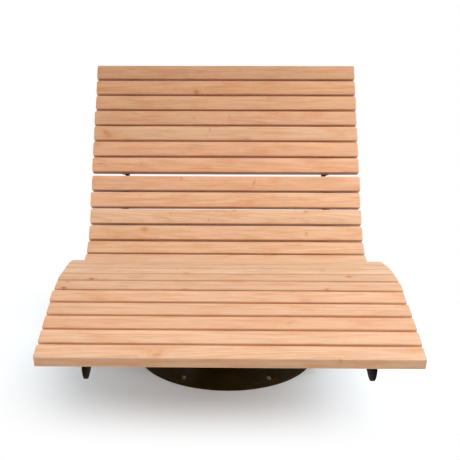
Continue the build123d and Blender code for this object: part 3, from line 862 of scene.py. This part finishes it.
@dataclass
class SlatDeck:
    """The slats: planed boards with rounded edges, each cut from its own place in a log.

    The corner radius is the board's as seen from above. The end play is how far a board may be off
    its place lengthwise, and the bow how far it may bend, part of it at its middle and the rest at
    its ends. The pith's ranges are across the board, above its underside and in its lean. The flat
    limit is how far the normal of a board's top face may point lengthwise.
    """

    material: bpy.types.Material
    length: float = 1.2
    width: float = 0.068
    thickness: float = 0.036
    edge_radius: float = 0.004
    corner_radius: float = 0.008
    edge_steps: int = 4
    length_steps: int = 24
    edge_start: float = 0.25
    end_play: float = 0.0018
    bow: float = 0.0009
    bow_middle_share: float = 0.5
    pith_across: tuple[float, float] = (-0.045, 0.045)
    pith_up: tuple[float, float] = (-0.11, -0.012)
    pith_lean: tuple[float, float] = (-0.022, 0.022)
    ring_width: tuple[float, float] = (0.7, 1.5)
    flat_limit: float = 0.01
    seed: int = 11
    boards: tuple[Board, ...] = field(default_factory=slat_boards)

    def section(self, inset: float, narrowing: float) -> list[tuple[float, float, float]]:
        """A rounded rectangle across a board.

        Args:
            inset: How far it lies inside the board's full section.
            narrowing: How much less wide it is on each side.

        Returns:
            Across, up, and how much of an edge each point is.
        """
        radius = self.edge_radius
        half = self.width / 2 - radius - narrowing
        points = []
        corners = ((half, self.thickness - radius, 0), (-half, self.thickness - radius, 1),
                   (-half, radius, 2), (half, radius, 3))
        for across, up, quarter in corners:
            for step in range(self.edge_steps + 1):
                angle = QUARTER_TURN * (quarter + step / self.edge_steps)
                reach = radius - inset
                edge = 1.0 if 0 < step < self.edge_steps else self.edge_start
                points.append((across + reach * math.cos(angle), up + reach * math.sin(angle), edge))
        return points

    def stations(self) -> list[tuple[float, float, float]]:
        """Places along a board, closer together at its rounded ends.

        Returns:
            The place along, and the section's inset and narrowing there.
        """
        half = self.length / 2
        turns = [QUARTER_TURN * step / self.edge_steps for step in range(self.edge_steps + 1)]
        depths = [(self.edge_radius * (1 - math.sin(turn)), self.edge_radius * (1 - math.cos(turn)))
                  for turn in reversed(turns)]
        spare = self.corner_radius - self.edge_radius
        depths += [(self.edge_radius + spare * step / self.edge_steps, 0.0)
                   for step in range(1, self.edge_steps + 1)]
        head = [(depth - half, inset, self.corner_radius - math.sqrt(
            self.corner_radius ** 2 - (self.corner_radius - depth) ** 2)) for depth, inset in depths]
        inner = half - self.corner_radius
        body = [(-inner + 2 * inner * step / self.length_steps, 0.0, 0.0)
                for step in range(1, self.length_steps)]
        tail = [(-along, inset, narrowing) for along, inset, narrowing in reversed(head)]
        return head + body + tail

    def place_of(self, node: bpy.types.Object) -> Matrix:
        """Works out where a slat lies from the frame.

        Args:
            node: The slat's node.

        Returns:
            The place of its underside's middle, with local Y up the slope.
        """
        areas: dict[tuple[float, ...], float] = {}
        for polygon in node.data.polygons:
            key = tuple(round(value, NORMAL_DIGITS) for value in polygon.normal)
            areas[key] = areas.get(key, 0.0) + polygon.area
        upward = {key: area for key, area in areas.items()
                  if key[2] > 0 and abs(key[0]) < self.flat_limit}
        normal = Vector(max(upward, key=upward.get)).normalized()
        slope = normal.cross(Vector((1, 0, 0))).normalized()
        heights = [vertex.co.dot(normal) for vertex in node.data.vertices]
        reaches = [vertex.co.dot(slope) for vertex in node.data.vertices]
        middle = slope * (min(reaches) + max(reaches)) / 2 + normal * min(heights)
        turn = Matrix((Vector((1, 0, 0)), slope, normal)).transposed()
        return Matrix.Translation(middle) @ turn.to_4x4()

    def board_mesh(self, name: str, place: Matrix, board: Board,
                   draw: random.Random) -> bpy.types.Mesh:
        """Builds one board with the marks that its wood is coloured by.

        Args:
            name: The mesh's name.
            place: Where the board lies.
            board: Its tint and knots.
            draw: The source of its chance values.

        Returns:
            The mesh.
        """
        shift = draw.uniform(-self.end_play, self.end_play)
        bow = draw.uniform(-self.bow, self.bow)
        rings: list[list[bmesh.types.BMVert]] = []
        local: list[Vector] = []
        edges: list[float] = []
        edit = bmesh.new()
        for along, inset, narrowing in self.stations():
            ring = []
            sag = bow * (self.bow_middle_share - (along / (self.length / 2)) ** 2)
            for across, up, edge in self.section(inset, narrowing):
                local.append(Vector((along, across, up)))
                edges.append(1.0 if inset > 0 else edge)
                ring.append(edit.verts.new(place @ Vector((along + shift, across + sag, up))))
            rings.append(ring)
        self.skin(edit, rings)
        mesh = bpy.data.meshes.new(name)
        edit.to_mesh(mesh)
        edit.free()
        mesh.shade_smooth()
        mesh.set_sharp_from_angle(angle=CREASE_ANGLE)
        self.mark(mesh, "board_place", local)
        mesh.attributes.new("board_edge", "FLOAT", "POINT").data.foreach_set("value", edges)
        self.mark_board(mesh, board, draw)
        return mesh

    @staticmethod
    def skin(edit: bmesh.types.BMesh, rings: list[list[bmesh.types.BMVert]]) -> None:
        """Joins rings of points with faces, and closes both ends.

        Args:
            edit: The mesh being built.
            rings: The rings in order, with as many points each.
        """
        count = len(rings[0])
        for here, there in zip(rings, rings[1:]):
            for index in range(count):
                following = (index + 1) % count
                edit.faces.new((here[index], here[following], there[following], there[index]))
        edit.faces.new(rings[0][::-1])
        edit.faces.new(rings[-1])
        bmesh.ops.recalc_face_normals(edit, faces=edit.faces)

    def mark_board(self, mesh: bpy.types.Mesh, board: Board, draw: random.Random) -> None:
        """Stores what sets the board's wood apart, alike at each vertex.

        Args:
            mesh: The board's mesh.
            board: Its tint, knots and painted side shading.
            draw: The source of its chance values.
        """
        pith = tuple(draw.uniform(*span) for span in (self.pith_across, self.pith_up, self.pith_lean))
        mood = (draw.uniform(0.0, 1.0), board.fleck, draw.uniform(*self.ring_width))
        marks = {"pith": pith, "mood": mood, "tint": board.tint, "side": board.side}
        spare = Knot(FAR_AWAY, FAR_AWAY, 0.0)
        for number in range(KNOT_SLOTS):
            knot = board.knots[number] if number < len(board.knots) else spare
            marks[f"knot_{number + 1}"] = (knot.along_share * self.length / 2,
                                           knot.across_share * self.width / 2, knot.radius)
            marks[f"knot_shape_{number + 1}"] = (knot.stretch, knot.depth, knot.lean)
        for name, vector in marks.items():
            self.mark(mesh, f"board_{name}", [vector] * len(mesh.vertices))

    @staticmethod
    def mark(mesh: bpy.types.Mesh, name: str, vectors: Iterable[Sequence[float]]) -> None:
        """Stores a vector at each vertex."""
        flat = [value for vector in vectors for value in vector]
        mesh.attributes.new(name, "FLOAT_VECTOR", "POINT").data.foreach_set("vector", flat)

    def build(self, nodes: dict[str, bpy.types.Object]) -> None:
        """Builds every board over its node.

        Args:
            nodes: The frame's nodes by name.
        """
        draw = random.Random(self.seed)
        for number, board in enumerate(self.boards, start=1):
            node = f"slat_{number:02d}"
            mesh = self.board_mesh(f"{node}_board", self.place_of(nodes[node]), board, draw)
            piece = new_object(f"{node}_board", mesh, self.material)
            seat_piece(piece, Body.SEAT, Slot.WOOD, node)


@dataclass(frozen=True)
class SteelPart:
    """One steel node: what it moves with, its finish and how far its edges are eased."""

    node: str
    body: Body
    slot: Slot
    ease: Ease = Ease.PLATE


@dataclass
class SteelWork:
    """Steel pieces that are made alike: the frame's solids with eased edges."""

    finishes: dict[Slot, bpy.types.Material]
    parts: tuple[SteelPart, ...] = ()
    ease_steps: int = 2
    ease_profile: float = 0.5

    def eased_mesh(self, part: SteelPart, source: bpy.types.Mesh) -> bpy.types.Mesh:
        """Copies a node's mesh with its flat faces joined and its sharp edges eased.

        Args:
            part: The part and its easing.
            source: The node's mesh.

        Returns:
            The new mesh, with its eased edges marked.
        """
        edit = bmesh.new()
        edit.from_mesh(source)
        bmesh.ops.remove_doubles(edit, verts=edit.verts, dist=WELD_DISTANCE)
        bmesh.ops.dissolve_limit(edit, angle_limit=FLAT_ANGLE, verts=edit.verts, edges=edit.edges)
        mark = edit.loops.layers.float.new("steel_edge")
        if part.ease is not Ease.NONE:
            sharp = [edge for edge in edit.edges
                     if len(edge.link_faces) == 2 and edge.calc_face_angle(0.0) > CREASE_ANGLE]
            made = bmesh.ops.bevel(edit, geom=sharp, offset=part.ease.value, segments=self.ease_steps,
                                   profile=self.ease_profile, affect="EDGES", clamp_overlap=True)
            for face in made["faces"]:
                for loop in face.loops:
                    loop[mark] = 1.0
        mesh = bpy.data.meshes.new(f"{part.node}_steel")
        edit.to_mesh(mesh)
        edit.free()
        mesh.shade_smooth()
        mesh.set_sharp_from_angle(angle=CREASE_ANGLE)
        return mesh

    def build(self, nodes: dict[str, bpy.types.Object]) -> None:
        """Builds every steel piece over its node.

        Args:
            nodes: The frame's nodes by name.
        """
        for part in self.parts:
            mesh = self.eased_mesh(part, nodes[part.node].data)
            piece = new_object(f"{part.node}_steel", mesh, self.finishes[part.slot])
            seat_piece(piece, part.body, part.slot, part.node)


@dataclass
class GroundBase(SteelWork):
    """The round plate on the ground, its levelling screws and the pedestal on it."""

    parts: tuple[SteelPart, ...] = (
        SteelPart("base_plate", Body.BASE, Slot.BASE, Ease.HEAVY_PLATE),
        SteelPart("levelling_screws", Body.BASE, Slot.ZINC, Ease.SCREW),
        SteelPart("pedestal_tube", Body.BASE, Slot.BASE),
        SteelPart("pedestal_gussets", Body.BASE, Slot.BASE, Ease.HEAVY_PLATE),
        SteelPart("bearing_flange", Body.BASE, Slot.BASE),
    )


@dataclass
class TurningRing(SteelWork):
    """The ball slewing ring that the seat turns on, with its bolts."""

    parts: tuple[SteelPart, ...] = (
        SteelPart("bearing_outer_ring", Body.BASE, Slot.BEARING, Ease.NONE),
        SteelPart("bearing_balls", Body.BASE, Slot.BALL, Ease.NONE),
        SteelPart("bearing_lower_bolts", Body.BASE, Slot.ZINC, Ease.BOLT),
        SteelPart("bearing_inner_ring", Body.SEAT, Slot.BEARING, Ease.NONE),
        SteelPart("bearing_upper_bolts", Body.SEAT, Slot.ZINC, Ease.BOLT),
    )


@dataclass
class SeatFrame(SteelWork):
    """The turntable plate, cross beams and side plates, and the two ribs that they carry."""

    parts: tuple[SteelPart, ...] = (
        SteelPart("turntable_plate", Body.SEAT, Slot.RIB),
        SteelPart("front_cross_beam", Body.SEAT, Slot.RIB, Ease.NONE),
        SteelPart("rear_cross_beam", Body.SEAT, Slot.RIB, Ease.NONE),
        SteelPart("left_side_plate", Body.SEAT, Slot.RIB),
        SteelPart("right_side_plate", Body.SEAT, Slot.RIB),
        SteelPart("left_rib", Body.SEAT, Slot.RIB),
        SteelPart("right_rib", Body.SEAT, Slot.RIB),
        SteelPart("left_frame_bolts", Body.SEAT, Slot.ZINC, Ease.BOLT),
        SteelPart("right_frame_bolts", Body.SEAT, Slot.ZINC, Ease.BOLT),
    )


@dataclass
class SlatFixings(SteelWork):
    """The tabs along the ribs and the screws that hold the slats down from below."""

    parts: tuple[SteelPart, ...] = (
        SteelPart("left_slat_tabs", Body.SEAT, Slot.RIB, Ease.BOLT),
        SteelPart("right_slat_tabs", Body.SEAT, Slot.RIB, Ease.BOLT),
        SteelPart("left_slat_screws", Body.SEAT, Slot.ZINC, Ease.NONE),
        SteelPart("right_slat_screws", Body.SEAT, Slot.ZINC, Ease.NONE),
    )


@dataclass
class CrossTies(SteelWork):
    """The tubes that tie the ribs together at the back and at the foot."""

    parts: tuple[SteelPart, ...] = (
        SteelPart("back_tie_tube", Body.SEAT, Slot.RIB, Ease.NONE),
        SteelPart("foot_tie_tube", Body.SEAT, Slot.RIB, Ease.NONE),
        SteelPart("tie_end_plugs", Body.SEAT, Slot.ZINC, Ease.NONE),
        SteelPart("tie_bolts", Body.SEAT, Slot.ZINC, Ease.BOLT),
    )


@dataclass
class Studio:
    """White floor, soft lamps, pale world and the camera of the photograph."""

    floor_reach: float = 40.0
    floor_cells: int = 8
    sky_low: float = 0.34
    sky_high: float = 0.74
    key_energy: float = 1.30
    key_colour: Colour = (1.0, 0.975, 0.94)
    key_spread: float = math.radians(50)
    key_place: Point = (1.0, 0.3, 4.0)
    key_target: Point = (0.0, 0.0, 0.0)
    side_energy: float = 34.0
    side_colour: Colour = (0.93, 0.97, 1.0)
    side_size: float = 1.4
    side_place: Point = (2.1, 0.1, 2.1)
    side_target: Point = (0.1, 0.1, 0.5)
    camera_place: Point = (-0.04422, -3.23728, 1.46533)
    camera_right: Point = (0.99983740, 0.01803186, -0.00011149)
    camera_up: Point = (-0.00495685, 0.28078393, 0.95975821)
    lens: float = 66.91
    lens_shift: float = 0.064
    sensor: float = 36.0
    nearest: float = 0.1
    farthest: float = 200.0

    def build(self, paper: bpy.types.Material) -> None:
        """Builds the studio round the lounger.

        Args:
            paper: The floor's material.
        """
        self.lay_floor(paper)
        self.light_world()
        self.hang_lamps()
        self.place_camera()
        log.info("studio ready")

    def lay_floor(self, paper: bpy.types.Material) -> None:
        """Lays the floor under the base plate.

        Args:
            paper: The floor's material.
        """
        edit = bmesh.new()
        bmesh.ops.create_grid(edit, x_segments=self.floor_cells, y_segments=self.floor_cells,
                              size=self.floor_reach)
        mesh = bpy.data.meshes.new("studio_floor")
        edit.to_mesh(mesh)
        edit.free()
        new_object("studio_floor", mesh, paper)

    def light_world(self) -> None:
        """Lights from all round, and shows plain white to the camera."""
        world = bpy.data.worlds.new("studio_world")
        bpy.context.scene.world = world
        world.use_nodes = True
        kit = NodeKit(world.node_tree)
        height = kit.split(kit.add("ShaderNodeTexCoord", {}, "Generated"))[2]
        level = kit.add("ShaderNodeMapRange", {"Value": height, "To Min": self.sky_low,
                                               "To Max": self.sky_high})
        lit = kit.add("ShaderNodeBackground", {"Color": colour4(WHITE), "Strength": level})
        shown = kit.add("ShaderNodeBackground", {"Color": colour4(WHITE), "Strength": 1.0})
        mixed = kit.add("ShaderNodeMixShader", {0: kit.direct_view(), 1: lit, 2: shown})
        kit.feed(kit.tree.nodes.new("ShaderNodeOutputWorld").inputs[0], mixed)

    def hang_lamps(self) -> None:
        """Hangs a wide key light high on the right and a soft box beside the lounger."""
        key = bpy.data.lights.new("key_light", "SUN")
        key.energy = self.key_energy
        key.color = self.key_colour
        key.angle = self.key_spread
        self.aim(key, self.key_place, self.key_target)
        side = bpy.data.lights.new("side_light", "AREA")
        side.shape = "DISK"
        side.size = self.side_size
        side.energy = self.side_energy
        side.color = self.side_colour
        self.aim(side, self.side_place, self.side_target)

    def aim(self, lamp: bpy.types.Light, place: Point, target: Point) -> None:
        """Puts a lamp in place and turns it towards a point.

        Args:
            lamp: The lamp.
            place: Where it hangs.
            target: The point.
        """
        holder = bpy.data.objects.new(lamp.name, lamp)
        holder.location = place
        holder.rotation_mode = "QUATERNION"
        holder.rotation_quaternion = (Vector(target) - Vector(place)).to_track_quat("-Z", "Y")
        bpy.context.scene.collection.objects.link(holder)

    def place_camera(self) -> None:
        """Puts the camera where the photograph was taken from."""
        camera = bpy.data.cameras.new("camera")
        camera.lens = self.lens
        camera.sensor_width = self.sensor
        camera.shift_x = self.lens_shift
        camera.sensor_fit = "AUTO"
        camera.clip_start = self.nearest
        camera.clip_end = self.farthest
        holder = bpy.data.objects.new("camera", camera)
        right, up = Vector(self.camera_right), Vector(self.camera_up)
        axes = Matrix((right, up, right.cross(up))).transposed()
        holder.matrix_world = Matrix.Translation(Vector(self.camera_place)) @ axes.to_4x4()
        bpy.context.scene.collection.objects.link(holder)
        bpy.context.scene.camera = holder


def corners(span: Span) -> list[list[float]]:
    """A box's two corners as plain lists."""
    return [list(span[0]), list(span[1])]


def main() -> None:
    """Builds the lounger's looks and the studio."""
    logging.basicConfig(level=logging.INFO, format="%(message)s")
    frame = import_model()
    bpy.context.scene.view_settings.view_transform = "Standard"
    steel = steel_materials()
    SlatDeck(SoftwoodFinish().material()).build(frame["nodes"])
    GroundBase(steel).build(frame["nodes"])
    TurningRing(steel).build(frame["nodes"])
    SeatFrame(steel).build(frame["nodes"])
    SlatFixings(steel).build(frame["nodes"])
    CrossTies(steel).build(frame["nodes"])
    Studio().build(FloorFinish().material())


if __name__ == "__main__":
    main()
